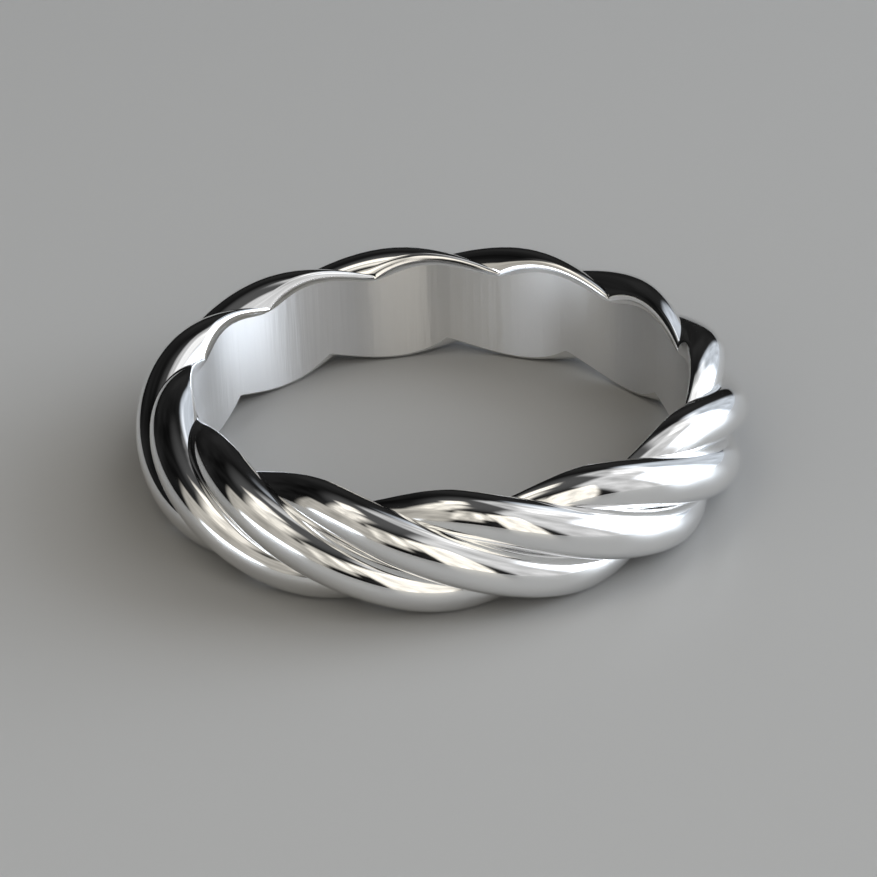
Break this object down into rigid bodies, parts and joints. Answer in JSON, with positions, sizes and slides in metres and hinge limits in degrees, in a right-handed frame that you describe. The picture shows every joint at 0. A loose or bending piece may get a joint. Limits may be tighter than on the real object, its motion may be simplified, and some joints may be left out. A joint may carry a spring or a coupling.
{
  "type": "spiral ring",
  "caption": "Finger ring: round polished wires twisted into a rope and closed into a hoop, with a plain smooth inside and scalloped edges.",
  "frame": {"origin": "centre of the finger hole, midway between the ring's two edges", "axes": "+Z along the finger hole, up as the ring lies on its side; +X to the right and -Y towards the viewer of the picture"},
  "size_m": [0.0214, 0.0214, 0.0042],
  "materials": {
    "polished_silver": "polished"
  },
  "bodies": {
    "root": {"twisted_band": "polished_silver"}
  },
  "joints": []
}
